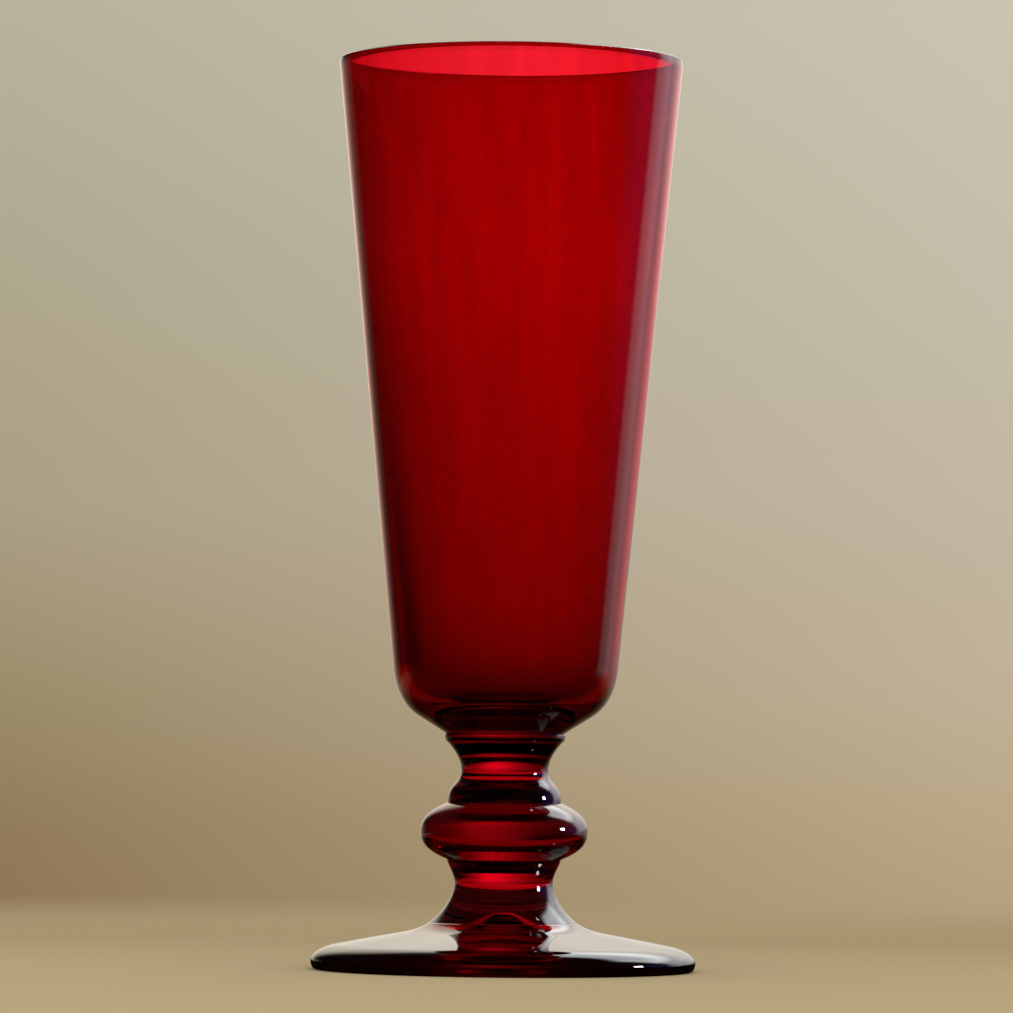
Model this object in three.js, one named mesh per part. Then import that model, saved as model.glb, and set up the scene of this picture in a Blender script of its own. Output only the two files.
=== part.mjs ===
// Champagne flute in ruby glass, made hot by hand: six gathers of glass, each fused to the next
// on a round flat face. From the table up they are the foot, the lower stem, the cushion knop,
// the upper stem, the merese (the thin collar under the bowl) and the bowl.
//
// Millimetres, +Z up. The origin is the centre of the surface that the foot stands on.
// Every piece is turned about the Z axis from its own outline.

import * as THREE from 'three';

// ---- Driving dimensions ----

const fluteHeight = 165;
const rimRadius = 31.2;
const rimWall = 0.9;
const footRadius = 34.8;
const knopRadius = 15.2;

// Heights of the five fused joints, from the foot up.
const footTop = 8.6;
const lowerStemTop = 20;
const knopTop = 30.2;
const upperStemTop = 41.2;
const mereseTop = 42.7;

// Radii of the round faces that two gathers share at those joints.
const footJoint = 13.4;
const knopLowerJoint = 10.4;
const knopUpperJoint = 10.3;
const mereseLowerJoint = 10.5;
const mereseUpperJoint = 10.8;

// How finely the turned surfaces are cut: facets round the axis, and steps along one curve.
const facetsAround = 48;
const stepsAlongCurve = 5;

// ---- Bowl ----

// Outside: the dish spreads from the merese to the corner, where the straight cone starts.
const dishStart = { radius: 11.2, height: mereseTop + 0.3 };
const dishEnd = { radius: 15.6, height: 45.7 };
const corner = { radius: 19.8, height: 48.3 };
const coneStart = { radius: 20.4, height: 54.5 };

// Inside: the wall thickens downwards to a tight corner, and the floor is flat.
const innerConeStart = { radius: 18.3, height: 56 };
const innerCornerDrop = 5.5;
const innerCornerEnd = { radius: 16, height: 48.2 };
const innerFloor = 47.6;
const innerFloorRadius = 11;

// ---- Stem pieces ----

// The collar is widest at a crisp shoulder near its top, and draws in below it.
const mereseRadius = 11;
const mereseSide = 41.5;
const mereseShoulder = 42.3;

const upperWaist = { radius: 7.9, height: 36 };
const upperCove = { radius: 8, height: 38.6 };
const bellShoulder = 33.8;
const bellNeck = 33.6;

const knopMiddle = 25;
const knopTopSlope = { radius: 13.3, height: 29 };
const knopTopBelly = 27.4;
const knopBottomBelly = 22.6;
const knopBottomSlope = { radius: 13.4, height: 21.2 };

const lowerWaist = { radius: 8.95, height: 15.6 };
const lowerShoulder = { radius: 10.1, height: 18.7 };
const lowerNeck = 17.6;
const flareCove = { radius: 9.3, height: 11.8 };

// ---- Foot ----

// Top: a small cove under the stem, a shallow slope, then a rounded edge.
const footCove = { radius: 15.2, height: 7.3 };
const slopeStart = { radius: 18.5, height: 6.75 };
const slopeMiddle = { radius: 25, height: 5.6 };
const slopeEnd = { radius: 30.6, height: 4.5 };
const edgeShoulder = { radius: 32.9, height: 4 };
const edgeMiddle = 1.6;
const edgeTopRound = 2.8;

// Underneath: a flat ring to stand on, and a hollow that rises to a dome below the stem.
const standOuter = 33.6;
const standInner = 30.5;
const hollowRise = { radius: 20, height: 1.4 };
const domeFoot = { radius: 10, height: 2 };
const domeFlank = { radius: 4.5, height: 2.2 };
const domeCrown = 3;
const domeTop = 7.5;

// ---- Outlines ----
// An outline is drawn in the half plane (radius, height). It starts on the axis at the bottom
// of the piece and goes out, up and back to the axis, so that the turned faces point outwards.

function startAtBottom(height) {
  const outline = new THREE.Path();
  outline.moveTo(0, height);
  return outline;
}

function footOutline() {
  const outline = startAtBottom(domeTop);
  outline.bezierCurveTo(
    domeCrown, domeTop,
    domeFlank.radius, domeFlank.height,
    domeFoot.radius, domeFoot.height,
  );
  outline.quadraticCurveTo(hollowRise.radius, hollowRise.height, standInner, 0);
  outline.lineTo(standOuter, 0);
  outline.quadraticCurveTo(footRadius, 0, footRadius, edgeMiddle);
  outline.bezierCurveTo(
    footRadius, edgeTopRound,
    edgeShoulder.radius, edgeShoulder.height,
    slopeEnd.radius, slopeEnd.height,
  );
  outline.quadraticCurveTo(slopeMiddle.radius, slopeMiddle.height, slopeStart.radius, slopeStart.height);
  outline.quadraticCurveTo(footCove.radius, footCove.height, footJoint, footTop);
  outline.lineTo(0, footTop);
  return outline;
}

function lowerStemOutline() {
  const outline = startAtBottom(footTop);
  outline.lineTo(footJoint, footTop);
  outline.quadraticCurveTo(flareCove.radius, flareCove.height, lowerWaist.radius, lowerWaist.height);
  outline.bezierCurveTo(
    lowerWaist.radius, lowerNeck,
    lowerShoulder.radius, lowerShoulder.height,
    knopLowerJoint, lowerStemTop,
  );
  outline.lineTo(0, lowerStemTop);
  return outline;
}

function knopOutline() {
  const outline = startAtBottom(lowerStemTop);
  outline.lineTo(knopLowerJoint, lowerStemTop);
  outline.bezierCurveTo(
    knopBottomSlope.radius, knopBottomSlope.height,
    knopRadius, knopBottomBelly,
    knopRadius, knopMiddle,
  );
  outline.bezierCurveTo(
    knopRadius, knopTopBelly,
    knopTopSlope.radius, knopTopSlope.height,
    knopUpperJoint, knopTop,
  );
  outline.lineTo(0, knopTop);
  return outline;
}

function upperStemOutline() {
  const outline = startAtBottom(knopTop);
  outline.lineTo(knopUpperJoint, knopTop);
  outline.bezierCurveTo(
    knopUpperJoint, bellShoulder,
    upperWaist.radius, bellNeck,
    upperWaist.radius, upperWaist.height,
  );
  outline.quadraticCurveTo(upperCove.radius, upperCove.height, mereseLowerJoint, upperStemTop);
  outline.lineTo(0, upperStemTop);
  return outline;
}

function mereseOutline() {
  const outline = startAtBottom(upperStemTop);
  outline.lineTo(mereseLowerJoint, upperStemTop);
  outline.quadraticCurveTo(mereseRadius, mereseSide, mereseRadius, mereseShoulder);
  outline.quadraticCurveTo(mereseRadius, mereseTop, mereseUpperJoint, mereseTop);
  outline.lineTo(0, mereseTop);
  return outline;
}

function bowlOutline() {
  const coneLean = Math.atan2(rimRadius - coneStart.radius, fluteHeight - coneStart.height);
  const rimRound = rimWall / 2;
  const outline = startAtBottom(mereseTop);
  outline.lineTo(mereseUpperJoint, mereseTop);
  outline.lineTo(dishStart.radius, dishStart.height);
  outline.lineTo(dishEnd.radius, dishEnd.height);
  outline.quadraticCurveTo(corner.radius, corner.height, coneStart.radius, coneStart.height);
  outline.absarc(
    rimRadius - rimRound, fluteHeight - rimRound, rimRound,
    0, Math.PI, false,
  );
  outline.lineTo(innerConeStart.radius, innerConeStart.height);
  outline.bezierCurveTo(
    innerConeStart.radius - innerCornerDrop * Math.sin(coneLean),
    innerConeStart.height - innerCornerDrop * Math.cos(coneLean),
    innerCornerEnd.radius, innerCornerEnd.height,
    innerFloorRadius, innerFloor,
  );
  outline.lineTo(0, innerFloor);
  return outline;
}

// ---- Pieces ----

function turnedGlass(name, outline, colour) {
  const geometry = new THREE.LatheGeometry(outline.getPoints(stepsAlongCurve), facetsAround);
  // A lathe turns about Y, and the flute stands along Z.
  geometry.rotateX(Math.PI / 2);
  const glass = new THREE.MeshStandardMaterial({ color: colour, roughness: 0.05, metalness: 0 });
  const piece = new THREE.Mesh(geometry, glass);
  piece.name = name;
  return piece;
}

// The glass is one ruby melt. It looks brighter where it is thin and darker where it is thick.
const thinRuby = 0x9c0a14;
const thickRuby = 0x5c0308;

const flute = new THREE.Group();
flute.add(
  turnedGlass('foot', footOutline(), thickRuby),
  turnedGlass('lower_stem', lowerStemOutline(), thickRuby),
  turnedGlass('knop', knopOutline(), thickRuby),
  turnedGlass('upper_stem', upperStemOutline(), thickRuby),
  turnedGlass('merese', mereseOutline(), thickRuby),
  turnedGlass('bowl', bowlOutline(), thinRuby),
);

export default flute;
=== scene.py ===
"""Looks of the champagne flute: six turned gathers of ruby glass on a pale studio floor.

Everything is in metres, in the frame of the CAD model: +Z up, and the origin is the centre of
the surface that the foot stands on. The camera looks along +Y.
"""

import math

import bpy
from mathutils import Matrix, Vector


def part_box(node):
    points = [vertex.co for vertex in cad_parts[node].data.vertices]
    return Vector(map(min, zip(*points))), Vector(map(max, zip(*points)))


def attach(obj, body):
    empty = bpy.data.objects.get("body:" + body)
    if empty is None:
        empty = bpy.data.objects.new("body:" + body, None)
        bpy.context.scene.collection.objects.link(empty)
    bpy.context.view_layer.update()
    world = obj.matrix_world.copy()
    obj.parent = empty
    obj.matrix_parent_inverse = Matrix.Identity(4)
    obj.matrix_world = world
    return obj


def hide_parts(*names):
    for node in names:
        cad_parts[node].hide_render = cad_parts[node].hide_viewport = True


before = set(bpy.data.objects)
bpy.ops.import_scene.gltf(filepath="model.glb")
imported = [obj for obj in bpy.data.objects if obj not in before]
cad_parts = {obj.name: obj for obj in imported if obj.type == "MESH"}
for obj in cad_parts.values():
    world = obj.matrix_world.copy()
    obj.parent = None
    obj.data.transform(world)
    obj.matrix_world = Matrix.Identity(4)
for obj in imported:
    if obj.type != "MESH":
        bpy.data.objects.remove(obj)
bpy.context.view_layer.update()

MM = 0.001

# Every fused face is drawn back by this much, so that no two pieces share a face.
HAIR = 0.002 * MM
# Heights that differ by less than this are the same height.
SAME_HEIGHT = 0.005 * MM

# ---- Sizes from the CAD frame ----

flute_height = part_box("bowl")[1].z
rim_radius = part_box("bowl")[1].x
foot_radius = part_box("foot")[1].x
knop_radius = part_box("knop")[1].x
merese_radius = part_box("merese")[1].x
foot_joint_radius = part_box("lower_stem")[1].x

# Heights of the five fused joints, from the foot up.
foot_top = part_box("foot")[1].z
lower_stem_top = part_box("lower_stem")[1].z
knop_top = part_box("knop")[1].z
upper_stem_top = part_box("upper_stem")[1].z
merese_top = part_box("merese")[1].z

# Radii of the other fused faces.
knop_lower_joint = 10.4 * MM
knop_upper_joint = 10.3 * MM
merese_lower_joint = 10.5 * MM
merese_upper_joint = 10.8 * MM


# ---- Outlines ----
# An outline is a list of runs in the half plane (radius, height). The first run is the point
# where it starts. Every other run holds the handles of a Bezier curve and the point where that
# curve ends, so a run of one point is a straight line.

def place(radius_mm, height_mm):
    return (radius_mm * MM, height_mm * MM)


def foot_outline():
    """A disc with a rounded edge, a ring to stand on and a domed hollow below the stem."""
    dome_top = 7.5 * MM
    dome_crown = (3 * MM, dome_top)
    dome_flank = place(4.5, 2.2)
    dome_foot = place(10, 2)
    hollow_rise = place(20, 1.4)
    stand_inner = place(30.5, 0)
    stand_outer = place(33.6, 0)
    edge_middle = (foot_radius, 1.6 * MM)
    edge_top_round = (foot_radius, 2.8 * MM)
    edge_shoulder = place(32.9, 4)
    slope_end = place(30.6, 4.5)
    slope_middle = place(25, 5.6)
    slope_start = place(18.5, 6.75)
    cove = place(15.2, 7.3)
    return [
        [(0, dome_top)],
        [dome_crown, dome_flank, dome_foot],
        [hollow_rise, stand_inner],
        [stand_outer],
        [(foot_radius, 0), edge_middle],
        [edge_top_round, edge_shoulder, slope_end],
        [slope_middle, slope_start],
        [cove, (foot_joint_radius, foot_top)],
        [(0, foot_top)],
    ]


def lower_stem_outline():
    """A flare that narrows to a waist and opens again under the knop."""
    flare_cove = place(9.3, 11.8)
    waist = place(8.95, 15.6)
    neck = (waist[0], 17.6 * MM)
    shoulder = place(10.1, 18.7)
    return [
        [(0, foot_top)],
        [(foot_joint_radius, foot_top)],
        [flare_cove, waist],
        [neck, shoulder, (knop_lower_joint, lower_stem_top)],
        [(0, lower_stem_top)],
    ]


def knop_outline():
    """A cushion, a little fuller below its middle than above it."""
    middle = (knop_radius, 25 * MM)
    bottom_slope = place(13.4, 21.2)
    bottom_belly = (knop_radius, 22.6 * MM)
    top_belly = (knop_radius, 27.4 * MM)
    top_slope = place(13.3, 29)
    return [
        [(0, lower_stem_top)],
        [(knop_lower_joint, lower_stem_top)],
        [bottom_slope, bottom_belly, middle],
        [top_belly, top_slope, (knop_upper_joint, knop_top)],
        [(0, knop_top)],
    ]


def upper_stem_outline():
    """A bell shoulder on the knop, a waist, and a cove up to the collar."""
    bell_shoulder = (knop_upper_joint, 33.8 * MM)
    waist = place(7.9, 36)
    bell_neck = (waist[0], 33.6 * MM)
    cove = place(8, 38.6)
    return [
        [(0, knop_top)],
        [(knop_upper_joint, knop_top)],
        [bell_shoulder, bell_neck, waist],
        [cove, (merese_lower_joint, upper_stem_top)],
        [(0, upper_stem_top)],
    ]


def merese_outline():
    """The thin collar, widest at a crisp shoulder near its top."""
    side = (merese_radius, 41.5 * MM)
    shoulder = (merese_radius, 42.3 * MM)
    return [
        [(0, upper_stem_top)],
        [(merese_lower_joint, upper_stem_top)],
        [side, shoulder],
        [(merese_radius, merese_top), (merese_upper_joint, merese_top)],
        [(0, merese_top)],
    ]


def bowl_outline():
    """A dish, a straight cone and a round rim, with a wall that thickens towards a flat floor."""
    wall = 0.9 * MM
    lip = flute_height - wall
    dish_start = (11.2 * MM, merese_top + 0.3 * MM)
    dish_end = place(15.6, 45.7)
    corner = place(19.8, 48.3)
    cone_start = place(20.4, 54.5)
    inner_cone_start = place(18.3, 56)
    inner_corner_drop = 5.5 * MM
    inner_corner_end = place(16, 48.2)
    inner_floor = 47.6 * MM
    inner_floor_edge = (11 * MM, inner_floor)
    lean = math.atan2(rim_radius - cone_start[0], flute_height - cone_start[1])
    inner_corner_start = (
        inner_cone_start[0] - inner_corner_drop * math.sin(lean),
        inner_cone_start[1] - inner_corner_drop * math.cos(lean),
    )
    return [
        [(0, merese_top)],
        [(merese_upper_joint, merese_top)],
        [dish_start],
        [dish_end],
        [corner, cone_start],
        [(rim_radius, lip)],
        [(rim_radius, flute_height), (rim_radius - wall / 2, flute_height)],
        [(rim_radius - wall, flute_height), (rim_radius - wall, lip)],
        [inner_cone_start],
        [inner_corner_start, inner_corner_end, inner_floor_edge],
        [(0, inner_floor)],
    ]


def bezier(points, share):
    """The point at a share, from 0 to 1, of the Bezier curve with these end points and handles."""
    while len(points) > 1:
        points = [
            (a[0] + (b[0] - a[0]) * share, a[1] + (b[1] - a[1]) * share)
            for a, b in zip(points, points[1:])
        ]
    return points[0]


def sampled(outline, spacing):
    """The outline as a list of points that lie about spacing apart."""
    points = [outline[0][0]]
    for run in outline[1:]:
        handles = [points[-1], *run]
        length = sum(math.dist(a, b) for a, b in zip(handles, handles[1:]))
        steps = max(2, math.ceil(length / spacing))
        points += [bezier(handles, step / steps) for step in range(1, steps + 1)]
    return points


# ---- Turned glass ----

AROUND = 288
HEIGHT_OF_WAVES = 0.05 * MM


def hand_wave(angle, height):
    """How far a hand-made surface falls short of a true circle here, from 0 to 1."""
    climb = height / flute_height
    slow = math.sin(2 * angle + 0.8 + 1.5 * climb)
    lobed = math.sin(5 * angle + 2.1 - 5 * climb)
    striae = math.sin(13 * angle + 0.4 + 2 * climb)
    return 0.5 + 0.25 * slow + 0.17 * lobed + 0.08 * striae


def ring(radius, height):
    """The points of one turn round the axis, with the waves dying away towards the axis."""
    depth = HEIGHT_OF_WAVES * min(1, radius / foot_joint_radius)
    points = []
    for step in range(AROUND):
        angle = 2 * math.pi * step / AROUND
        here = radius - depth * hand_wave(angle, height)
        points.append((here * math.cos(angle), here * math.sin(angle), height))
    return points


def turned(name, points):
    """A closed mesh: the points of an outline turned about the Z axis."""
    rings = points[1:-1]
    vertices = [vertex for radius, height in rings for vertex in ring(radius, height)]
    bottom = len(vertices)
    top = bottom + 1
    vertices += [(0, 0, points[0][1]), (0, 0, points[-1][1])]
    last = (len(rings) - 1) * AROUND
    faces = []
    for step in range(AROUND):
        following = (step + 1) % AROUND
        faces.append((bottom, following, step))
        faces.append((last + step, last + following, top))
        for low in range(0, last, AROUND):
            high = low + AROUND
            faces.append((low + step, low + following, high + following, high + step))
    mesh = bpy.data.meshes.new(name)
    mesh.from_pydata(vertices, [], faces)
    mesh.validate()
    piece = bpy.data.objects.new(name, mesh)
    bpy.context.scene.collection.objects.link(piece)
    return piece


def drawn_back(points, joints):
    """The outline with its fused faces drawn back by a hair."""
    middle = (points[0][1] + points[-1][1]) / 2
    moved = []
    for radius, height in points:
        if any(abs(height - joint) < SAME_HEIGHT for joint in joints):
            height += HAIR if height < middle else -HAIR
        moved.append((radius, height))
    return moved


def fused_faces(piece, joints):
    """The faces of the piece that lie flat on its fused joints."""
    vertices = piece.data.vertices
    return [
        face for face in piece.data.polygons
        if any(
            all(abs(vertices[corner].co.z - joint) < SAME_HEIGHT for corner in face.vertices)
            for joint in joints
        )
    ]


# ---- Shader nodes ----

def node(tree, kind, **settings):
    made = tree.nodes.new(kind)
    for name, value in settings.items():
        setattr(made, name, value)
    return made


def math_node(tree, operation, *values):
    """A math node fed by sockets or plain numbers."""
    made = node(tree, "ShaderNodeMath", operation=operation)
    for socket, value in zip(made.inputs, values):
        if isinstance(value, (int, float)):
            socket.default_value = value
        else:
            tree.links.new(value, socket)
    return made.outputs[0]


def between(tree, source, low, high, first=0, last=1):
    """Source mapped so that low gives first and high gives last, without going outside them."""
    made = node(tree, "ShaderNodeMapRange")
    for socket, value in (("From Min", low), ("From Max", high), ("To Min", first), ("To Max", last)):
        made.inputs[socket].default_value = value
    tree.links.new(source, made.inputs["Value"])
    return made.outputs["Result"]


def ramp(tree, source, stops):
    """A colour ramp fed by source, with (place, colour) stops in order."""
    made = node(tree, "ShaderNodeValToRGB")
    elements = made.color_ramp.elements
    while len(elements) < len(stops):
        elements.new(1)
    for element, (where, colour) in zip(elements, stops):
        element.position = where
        element.color = (*colour, 1)
    tree.links.new(source, made.inputs[0])
    return made.outputs["Color"]


def plain(tree, colour):
    """A plain colour as a socket."""
    made = node(tree, "ShaderNodeRGB")
    made.outputs[0].default_value = (*colour, 1)
    return made.outputs[0]


def mixed(tree, share, first, second):
    """Two colours mixed: share 0 is all first, and share 1 is all second."""
    made = node(tree, "ShaderNodeMix", data_type="RGBA")
    # The node has sockets of every kind. These are the ones that a mix of colours uses.
    factor, colour_a, colour_b, colour_result = 0, 6, 7, 2
    for socket, value in ((factor, share), (colour_a, first), (colour_b, second)):
        tree.links.new(value, made.inputs[socket])
    return made.outputs[colour_result]


def added(tree, first, second):
    """Two colours added up."""
    made = node(tree, "ShaderNodeVectorMath", operation="ADD")
    tree.links.new(first, made.inputs[0])
    tree.links.new(second, made.inputs[1])
    return made.outputs[0]


def product(tree, first, second):
    """Two colours multiplied."""
    made = node(tree, "ShaderNodeVectorMath", operation="MULTIPLY")
    tree.links.new(first, made.inputs[0])
    tree.links.new(second, made.inputs[1])
    return made.outputs[0]


def grey(level):
    return (level, level, level)


# ---- Ruby glass ----

GLASS_IOR = 1.5

# The tint that one crossing of the surface gives, by height above the table in millimetres.
# It is a stand-in, set height by height: a real melt has one colour, darker where it is thicker. Low on
# the foot the near-black is partly painted shade.
# The foot's near-black is partly its long path through thick glass and partly painted shade.
SHADED_FOOT_RUBY = (0.04, 0.0003, 0.0008)
STEM_RUBY = (0.29, 0.0008, 0.008)
KNOP_RUBY = (0.15, 0.0005, 0.003)
DISH_RUBY = (0.09, 0.0007, 0.002)
TINT_AND_SHADE_BY_HEIGHT = [
    (0, SHADED_FOOT_RUBY),
    (5, SHADED_FOOT_RUBY),
    (7.5, (0.24, 0.0006, 0.004)),
    (10, STEM_RUBY),
    (20, STEM_RUBY),
    (22.5, KNOP_RUBY),
    (28, KNOP_RUBY),
    (31, STEM_RUBY),
    (41, (0.22, 0.0008, 0.006)),
    (44, DISH_RUBY),
    (50, (0.18, 0.001, 0.004)),
    (58, (0.29, 0.002, 0.006)),
    (67, (0.345, 0.002, 0.007)),
    (90, (0.39, 0.003, 0.009)),
    (131, (0.46, 0.005, 0.015)),
    (165, (0.415, 0.0065, 0.0155)),
]


def streaks(tree, coordinates):
    """Noise in tall soft streaks, as an uneven melt leaves them, about a millimetre or two wide."""
    stretch_upwards = (1, 1, 0.12)
    streaks_per_metre = 300
    squeezed = node(tree, "ShaderNodeVectorMath", operation="MULTIPLY")
    squeezed.inputs[1].default_value = stretch_upwards
    tree.links.new(coordinates, squeezed.inputs[0])
    noise = node(tree, "ShaderNodeTexNoise")
    noise.inputs["Scale"].default_value = streaks_per_metre
    noise.inputs["Detail"].default_value = 3
    tree.links.new(squeezed.outputs[0], noise.inputs["Vector"])
    return noise.outputs["Fac"]


def glass_crossed(tree):
    """How much glass light goes through, next to light that crosses the wall square on."""
    facing = node(tree, "ShaderNodeLayerWeight")
    facing.inputs["Blend"].default_value = 0.5
    geometry = node(tree, "ShaderNodeNewGeometry")
    # Cosine of the angle to the surface: as it is inside the glass, and bent for light from outside.
    cosine = math_node(tree, "SUBTRACT", 1, facing.outputs["Facing"])
    square = math_node(tree, "MULTIPLY", cosine, cosine)
    bending = 1 / GLASS_IOR ** 2
    bent = math_node(tree, "SQRT", math_node(tree, "MULTIPLY_ADD", square, bending, 1 - bending))
    slant = node(tree, "ShaderNodeMix")
    for socket, value in (("Factor", geometry.outputs["Backfacing"]), ("A", bent), ("B", cosine)):
        tree.links.new(value, slant.inputs[socket])
    steepest = 0.6
    return math_node(tree, "DIVIDE", 1, math_node(tree, "MAXIMUM", slant.outputs["Result"], steepest))


def ruby_glass():
    """Deep ruby glass, tinted by height with painted shade low on the foot, streaky, and darker for light
    that crosses it at a slant.
    """
    ripple_height = 0.02 * MM
    ripple_strength = 0.25
    palest_streak, darkest_streak = 1.08, 0.92
    body_colour = (0.5, 0.1, 0.2)
    body_density = 36
    material = bpy.data.materials.new("ruby_glass")
    material.use_nodes = True
    tree = material.node_tree
    shader = tree.nodes["Principled BSDF"]
    shader.inputs["Transmission Weight"].default_value = 1
    shader.inputs["IOR"].default_value = GLASS_IOR
    shader.inputs["Roughness"].default_value = 0

    coordinates = node(tree, "ShaderNodeTexCoord").outputs["Object"]
    parts = node(tree, "ShaderNodeSeparateXYZ")
    tree.links.new(coordinates, parts.inputs[0])
    climb = between(tree, parts.outputs["Z"], 0, flute_height)
    tint = ramp(tree, climb, [(height * MM / flute_height, colour) for height, colour in TINT_AND_SHADE_BY_HEIGHT])

    uneven = streaks(tree, coordinates)
    varied = node(tree, "ShaderNodeVectorMath", operation="SCALE")
    tree.links.new(tint, varied.inputs[0])
    streak = between(tree, uneven, 0.3, 0.7, darkest_streak, palest_streak)
    tree.links.new(streak, varied.inputs["Scale"])

    deeper = node(tree, "ShaderNodeGamma")
    tree.links.new(varied.outputs[0], deeper.inputs["Color"])
    tree.links.new(glass_crossed(tree), deeper.inputs["Gamma"])
    tree.links.new(deeper.outputs[0], shader.inputs["Base Color"])

    ripple = node(tree, "ShaderNodeBump")
    ripple.inputs["Strength"].default_value = ripple_strength
    ripple.inputs["Distance"].default_value = ripple_height
    tree.links.new(uneven, ripple.inputs["Height"])
    tree.links.new(ripple.outputs["Normal"], shader.inputs["Normal"])

    body = node(tree, "ShaderNodeVolumeAbsorption")
    body.inputs["Color"].default_value = (*body_colour, 1)
    body.inputs["Density"].default_value = body_density
    tree.links.new(body.outputs[0], tree.nodes["Material Output"].inputs["Volume"])
    return material


def fused_joint():
    """Where two gathers meet there is no air between them, so light goes straight through."""
    material = bpy.data.materials.new("fused_joint")
    material.use_nodes = True
    tree = material.node_tree
    tree.nodes.clear()
    output = node(tree, "ShaderNodeOutputMaterial")
    clear = node(tree, "ShaderNodeBsdfTransparent")
    tree.links.new(clear.outputs[0], output.inputs["Surface"])
    return material


# ---- The six gathers ----

# For each CAD node: its outline, how far apart the points of the outline are, and its joints.
gathers = {
    "foot": (foot_outline(), 0.5 * MM, [foot_top]),
    "lower_stem": (lower_stem_outline(), 0.25 * MM, [foot_top, lower_stem_top]),
    "knop": (knop_outline(), 0.25 * MM, [lower_stem_top, knop_top]),
    "upper_stem": (upper_stem_outline(), 0.25 * MM, [knop_top, upper_stem_top]),
    "merese": (merese_outline(), 0.15 * MM, [upper_stem_top, merese_top]),
    "bowl": (bowl_outline(), 0.9 * MM, [merese_top]),
}
sharp_angle = math.radians(40)
glass = ruby_glass()
joint_glass = fused_joint()
for name, (outline, spacing, joints) in gathers.items():
    piece = turned("glass_" + name, drawn_back(sampled(outline, spacing), joints))
    piece.data.materials.append(glass)
    piece.data.materials.append(joint_glass)
    for face in piece.data.polygons:
        face.use_smooth = True
    for face in fused_faces(piece, joints):
        face.material_index = 1
    piece.data.set_sharp_from_angle(angle=sharp_angle)
    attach(piece, "root")
    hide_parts(name)


# ---- Floor ----

FLOOR_RADIUS = 0.6
FLOOR_COLOUR = (0.62, 0.5, 0.3)
# Painted shade: the colour of the floor behind the glass.
SHADED_FLOOR_BEHIND = (0.5, 0.39, 0.225)
# Painted dark reflection: what the glass reflects of the floor near it.
PAINTED_DARK_REFLECTION = (0.01, 0.008, 0.005)
# The floor fades into the backdrop between these distances.
FADE_START = 0.22
FADE_END = 0.5


def floor_colour(tree, distance_behind, ray):
    """A pale floor with painted shade behind the glass. For reflection rays it is painted near-black, a
    painted dark reflection, unless it lies well behind the glass.
    """
    dim_from = 0.15
    unreflected_within, reflected_from = 0.08, 0.3
    # Painted shade: the floor darkens behind the glass.
    painted_shade = between(tree, distance_behind, 0, dim_from)
    pale = mixed(tree, painted_shade, plain(tree, FLOOR_COLOUR), plain(tree, SHADED_FLOOR_BEHIND))
    glossy = ray.outputs["Is Glossy Ray"]
    reflection = math_node(tree, "SUBTRACT", glossy, ray.outputs["Is Transmission Ray"])
    # Painted dark reflection: near the glass, reflection rays see the floor near-black.
    close = between(tree, distance_behind, reflected_from, unreflected_within)
    dark_reflection = math_node(tree, "MULTIPLY", close, reflection)
    return mixed(tree, dark_reflection, pale, plain(tree, PAINTED_DARK_REFLECTION))


def painted_floor_glow(tree, distance, ray):
    """Painted light: the floor glows for rays that come through the glass, halved beside the foot as a
    painted shadow.
    """
    foot_edge, clear_of_foot = 0.035, 0.07
    full_painted_glow = 1.7
    # Painted shadow: the glow is halved beside the foot.
    lit_outside_foot_shadow = between(tree, distance, foot_edge, clear_of_foot, 0.5, 1)
    bounced = between(tree, ray.outputs["Glossy Depth"], 0, 1, 1, 0.5)
    painted_glow = math_node(tree, "MULTIPLY", ray.outputs["Is Transmission Ray"], lit_outside_foot_shadow)
    painted_glow = math_node(tree, "MULTIPLY", painted_glow, bounced)
    return math_node(tree, "MULTIPLY", painted_glow, full_painted_glow)


def floor_material():
    """Matt and pale near the glass, with painted shade, a painted dark reflection and a painted glow. It
    fades into the backdrop further away.
    """
    material = bpy.data.materials.new("pale_floor")
    material.use_nodes = True
    tree = material.node_tree
    tree.nodes.clear()
    ray = node(tree, "ShaderNodeLightPath")
    coordinates = node(tree, "ShaderNodeTexCoord").outputs["Object"]
    parts = node(tree, "ShaderNodeSeparateXYZ")
    tree.links.new(coordinates, parts.inputs[0])
    distance = node(tree, "ShaderNodeVectorMath", operation="LENGTH")
    tree.links.new(coordinates, distance.inputs[0])

    matt = node(tree, "ShaderNodeBsdfDiffuse")
    tree.links.new(floor_colour(tree, parts.outputs["Y"], ray), matt.inputs["Color"])
    # Painted light: the floor glows like a lamp for rays through the glass.
    painted_glow = node(tree, "ShaderNodeEmission")
    painted_glow.inputs["Color"].default_value = (1, 0.8, 0.5, 1)
    tree.links.new(painted_floor_glow(tree, distance.outputs["Value"], ray), painted_glow.inputs["Strength"])
    lit = node(tree, "ShaderNodeAddShader")
    tree.links.new(matt.outputs[0], lit.inputs[0])
    tree.links.new(painted_glow.outputs[0], lit.inputs[1])

    fade = node(tree, "ShaderNodeMapRange", interpolation_type="SMOOTHSTEP")
    fade.inputs["From Min"].default_value = FADE_START
    fade.inputs["From Max"].default_value = FADE_END
    tree.links.new(distance.outputs["Value"], fade.inputs["Value"])
    clear = node(tree, "ShaderNodeBsdfTransparent")
    faded = node(tree, "ShaderNodeMixShader")
    tree.links.new(fade.outputs["Result"], faded.inputs[0])
    tree.links.new(lit.outputs[0], faded.inputs[1])
    tree.links.new(clear.outputs[0], faded.inputs[2])
    output = node(tree, "ShaderNodeOutputMaterial")
    tree.links.new(faded.outputs[0], output.inputs["Surface"])
    return material


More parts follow.
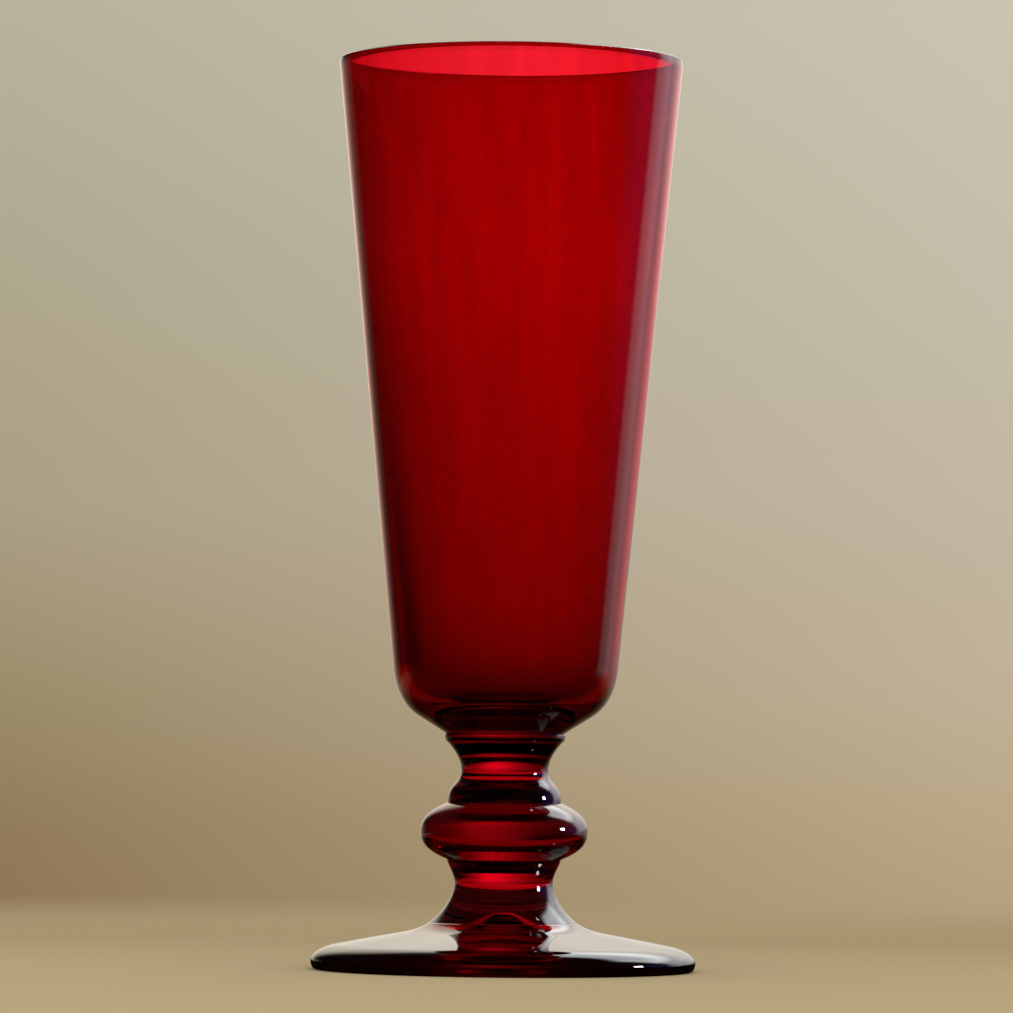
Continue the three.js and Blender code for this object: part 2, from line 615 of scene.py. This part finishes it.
def floor_disc():
    """A round floor at height 0."""
    around = 96
    turns = [2 * math.pi * step / around for step in range(around)]
    vertices = [(FLOOR_RADIUS * math.cos(turn), FLOOR_RADIUS * math.sin(turn), 0) for turn in turns]
    mesh = bpy.data.meshes.new("floor")
    mesh.from_pydata(vertices, [], [tuple(range(around))])
    mesh.materials.append(floor_material())
    floor = bpy.data.objects.new("floor", mesh)
    bpy.context.scene.collection.objects.link(floor)


# ---- Room ----
# The camera sees a plain backdrop. The glass reflects one room and shows another through itself,
# as it does in a real room that is lit unevenly. Directions are compass degrees, 0 straight ahead
# of the camera and positive to its right, and degrees above the horizon.

DARK = grey(0.003)


def linear(red, green, blue):
    """A screen colour, each part from 0 to 255, as the linear colour that shaders use."""
    shares = (red / 255, green / 255, blue / 255)
    return tuple(
        share / 12.92 if share <= 0.04045 else ((share + 0.055) / 1.055) ** 2.4
        for share in shares
    )


def height_ramp(tree, height, low, high, stops):
    """A ramp by degrees above the horizon. Height is the sine of those degrees."""
    floor = math.sin(math.radians(low))
    ceiling = math.sin(math.radians(high))
    climb = between(tree, height, floor, ceiling)
    places = [(math.sin(math.radians(degrees)) - floor) / (ceiling - floor) for degrees, colour in stops]
    return ramp(tree, climb, [(where, colour) for where, (degrees, colour) in zip(places, stops)])


def room_patch(tree, azimuth, height, round_the_room, up_the_room):
    """Light that varies round the room and up the room, each given as (degrees, colour) stops."""
    turn = between(tree, azimuth, -math.pi, math.pi)
    across = ramp(tree, turn, [((degrees + 180) / 360, colour) for degrees, colour in round_the_room])
    return product(tree, across, height_ramp(tree, height, -18, 90, up_the_room))


def backdrop(tree, sideways, height):
    """The wall that the camera sees: warm and darker low on the left, paler on the right."""
    left = height_ramp(tree, height, -3.5, 7, [
        (-3.2, linear(176, 158, 122)), (-1.6, linear(143, 120, 88)), (-1.0, linear(145, 123, 91)),
        (0.3, linear(156, 140, 107)), (2.1, linear(172, 160, 134)), (4, linear(175, 167, 142)),
        (6.6, linear(184, 178, 157)),
    ])
    right = height_ramp(tree, height, -3.5, 7, [
        (-3.2, linear(180, 162, 126)), (-1.6, linear(180, 162, 127)), (-1.0, linear(185, 166, 132)),
        (0.3, linear(192, 176, 150)), (2.1, linear(195, 183, 162)), (4, linear(196, 189, 169)),
        (6.6, linear(202, 195, 176)),
    ])
    return mixed(tree, between(tree, sideways, -0.08, 0.08), left, right)


def reflected_room(tree, azimuth, height):
    """What the glass reflects: a pale wall behind it, a tall cool window on its right, dark elsewhere."""
    low_wall = room_patch(tree, azimuth, height, [
        (-44, DARK), (-34, (0.12, 0.11, 0.08)), (-24, (0.4, 0.36, 0.28)), (-12, (0.68, 0.62, 0.48)),
        (-5, (0.55, 0.48, 0.36)), (5, (0.38, 0.34, 0.28)), (15, (0.26, 0.25, 0.21)),
        (50, (0.2, 0.2, 0.22)), (64, DARK),
    ], [
        (-10, grey(0.7)), (-1, grey(0.85)), (3, grey(0.9)), (8, grey(0.2)), (12, DARK),
    ])
    high_wall = room_patch(tree, azimuth, height, [
        (-30, DARK), (-24, grey(0.05)), (-14, (0.7, 0.62, 0.5)), (-3, (1, 0.92, 0.77)),
        (30, (0.9, 0.88, 0.82)), (50, grey(0.5)), (66, DARK),
    ], [
        (1, grey(0.1)), (6, grey(0.9)), (14, grey(1.3)), (20, grey(1.75)), (34, grey(1.75)),
        (42, grey(0.1)), (60, DARK),
    ])
    skylight = room_patch(tree, azimuth, height, [
        (-4, DARK), (10, grey(1)), (55, grey(1)), (66, DARK),
    ], [
        (26, DARK), (34, (2.7, 2.8, 2.85)), (51, (2.7, 2.8, 2.85)), (56, DARK),
    ])
    # The window leans: its sides move left as they rise.
    lean = math_node(tree, "MINIMUM", height, 0.1)
    window = room_patch(tree, math_node(tree, "ADD", azimuth, lean), height, [
        (0, DARK), (10, grey(0.05)), (30, grey(0.15)), (42, grey(0.3)), (50, grey(0.85)),
        (62, grey(0.8)), (66, grey(0.03)), (90, grey(0.02)), (110, DARK),
    ], [
        (-10, (0.42, 0.38, 0.34)), (-5, (0.48, 0.45, 0.45)), (0, (0.7, 0.68, 0.8)), (4, (0.9, 0.9, 1.25)),
        (20, (1.4, 1.4, 1.6)), (35, (1.6, 1.6, 1.8)), (50, (1.6, 1.6, 1.8)), (58, DARK),
    ])
    dusk = room_patch(tree, azimuth, height, [
        (60, grey(0)), (68, grey(1)), (86, grey(1)), (96, grey(0)),
    ], [
        (-6, grey(0)), (0, (0.02, 0.02, 0.15)), (5, (0.04, 0.03, 0.3)), (12, (0.04, 0.03, 0.3)),
        (30, grey(0)),
    ])
    room = added(tree, added(tree, low_wall, high_wall), skylight)
    return added(tree, added(tree, room, window), dusk)


def room_through_glass(tree, azimuth, parts, ray):
    """What shows through the glass: a bright wall behind it and a dark corner low on the left."""
    height = parts.outputs["Z"]
    bounced = math_node(tree, "MINIMUM", ray.outputs["Glossy Depth"], 1)
    up_the_room = [
        (-10, grey(0.8)), (0, grey(0.95)), (4, grey(1)), (8, grey(1.25)), (14, grey(1.8)),
        (32, grey(1.8)), (42, grey(1)), (55, grey(0.4)), (70, grey(0.25)), (90, grey(0.15)),
    ]
    room = room_patch(tree, azimuth, height, [
        (-110, (0.6, 0.55, 0.45)), (-60, (0.5, 0.45, 0.35)), (-35, (0.4, 0.36, 0.3)),
        (-24, (0.6, 0.55, 0.45)), (-16, (0.85, 0.8, 0.7)), (-6, (1.45, 1.35, 1.2)), (0, (2.05, 1.9, 1.6)),
        (8, (2.55, 2.35, 2)), (15, (2.4, 2.2, 1.95)), (22, (1.6, 1.5, 1.3)), (30, (1, 0.95, 0.85)),
        (66, (0.7, 0.65, 0.6)), (110, (0.6, 0.55, 0.45)),
    ], up_the_room)
    corner = room_patch(tree, azimuth, height, [
        (-40, grey(0)), (-32, grey(0.5)), (-20, grey(0.87)), (-15, grey(0.8)), (-7, grey(0)),
    ], [
        (-7, grey(0)), (-4, grey(1)), (-1, grey(1)), (2.5, grey(0)),
    ])
    room = mixed(tree, corner, room, plain(tree, DARK))

    # Seen from its sides and its back, the glass has a bright wall behind it too.
    to_the_side = between(tree, math_node(tree, "ABSOLUTE", azimuth), math.radians(65), math.radians(85))
    straight_through = math_node(tree, "MULTIPLY", to_the_side, math_node(tree, "SUBTRACT", 1, bounced))
    wall = (1.8, 1.65, 1.4)
    side_walls = room_patch(tree, azimuth, height, [(-180, wall), (180, wall)], up_the_room)
    room = mixed(tree, straight_through, room, side_walls)

    # Light that has bounced inside the glass and comes back from the camera's side is dark.
    in_front = between(tree, parts.outputs["Y"], -0.86, -0.95)
    darkened = math_node(tree, "MULTIPLY", in_front, bounced)
    return mixed(tree, darkened, room, plain(tree, grey(0.01)))


def studio():
    """The world: the backdrop for the camera, soft light for the floor, and rooms for the glass."""
    world = bpy.data.worlds.new("studio")
    bpy.context.scene.world = world
    world.use_nodes = True
    tree = world.node_tree
    tree.nodes.clear()
    ray = node(tree, "ShaderNodeLightPath")
    parts = node(tree, "ShaderNodeSeparateXYZ")
    tree.links.new(node(tree, "ShaderNodeTexCoord").outputs["Generated"], parts.inputs[0])
    sideways = parts.outputs["X"]
    height = parts.outputs["Z"]
    azimuth = math_node(tree, "ARCTAN2", sideways, parts.outputs["Y"])

    soft_light = plain(tree, (0.8, 0.78, 0.74))
    reflected = reflected_room(tree, azimuth, height)
    through = room_through_glass(tree, azimuth, parts, ray)
    colour = mixed(tree, ray.outputs["Is Glossy Ray"], soft_light, reflected)
    colour = mixed(tree, ray.outputs["Is Transmission Ray"], colour, through)
    colour = mixed(tree, ray.outputs["Is Camera Ray"], colour, backdrop(tree, sideways, height))

    background = node(tree, "ShaderNodeBackground")
    tree.links.new(colour, background.inputs["Color"])
    output = node(tree, "ShaderNodeOutputWorld")
    tree.links.new(background.outputs[0], output.inputs["Surface"])


# ---- Lamp and camera ----

def small_window():
    """The small bright window that leaves a dot on every bulge below the bowl."""
    light = bpy.data.lights.new("small_window", "AREA")
    light.shape = "RECTANGLE"
    light.size = 0.13
    light.size_y = 0.16
    light.energy = 6
    lamp = bpy.data.objects.new("small_window", light)
    bpy.context.scene.collection.objects.link(lamp)
    distance = 1.1
    stem_middle = Vector((0, 0, (knop_top + lower_stem_top) / 2))
    towards = Vector((0.975, -0.02, 0.22)).normalized()
    lamp.location = stem_middle + towards * distance
    lamp.rotation_euler = towards.to_track_quat("Z", "Y").to_euler()
    lamp.visible_diffuse = False
    lamp.visible_camera = False
    lit = bpy.data.collections.new("lit_by_small_window")
    for name in ("foot", "lower_stem", "knop", "upper_stem"):
        lit.objects.link(bpy.data.objects["glass_" + name])
    lamp.light_linking.receiver_collection = lit


def camera():
    """A long lens level with the collar, looking slightly up."""
    data = bpy.data.cameras.new("camera")
    data.sensor_width = 36
    data.lens = 219.6
    data.clip_start = 0.01
    data.clip_end = 20
    distance = 6.78 * flute_height
    eye = Vector((0, -distance, 43.8 * MM))
    pitch = math.radians(2.05)
    pan = math.radians(0.007)
    roll = math.radians(0.55)
    forward = Vector((-math.sin(pan), math.cos(pan) * math.cos(pitch), math.sin(pitch)))
    aim = forward.to_track_quat("-Z", "Y").to_matrix().to_4x4()
    viewer = bpy.data.objects.new("camera", data)
    viewer.matrix_world = Matrix.Translation(eye) @ aim @ Matrix.Rotation(roll, 4, "Z")
    bpy.context.scene.collection.objects.link(viewer)
    bpy.context.scene.camera = viewer


floor_disc()
studio()
small_window()
camera()

scene = bpy.context.scene
scene.view_settings.view_transform = "Standard"
# Light crosses many glass surfaces on its way through the stem.
scene.cycles.max_bounces = 24
scene.cycles.transmission_bounces = 20
scene.cycles.glossy_bounces = 12
scene.cycles.transparent_max_bounces = 32
scene.cycles.sample_clamp_indirect = 8
scene.cycles.use_denoising = True
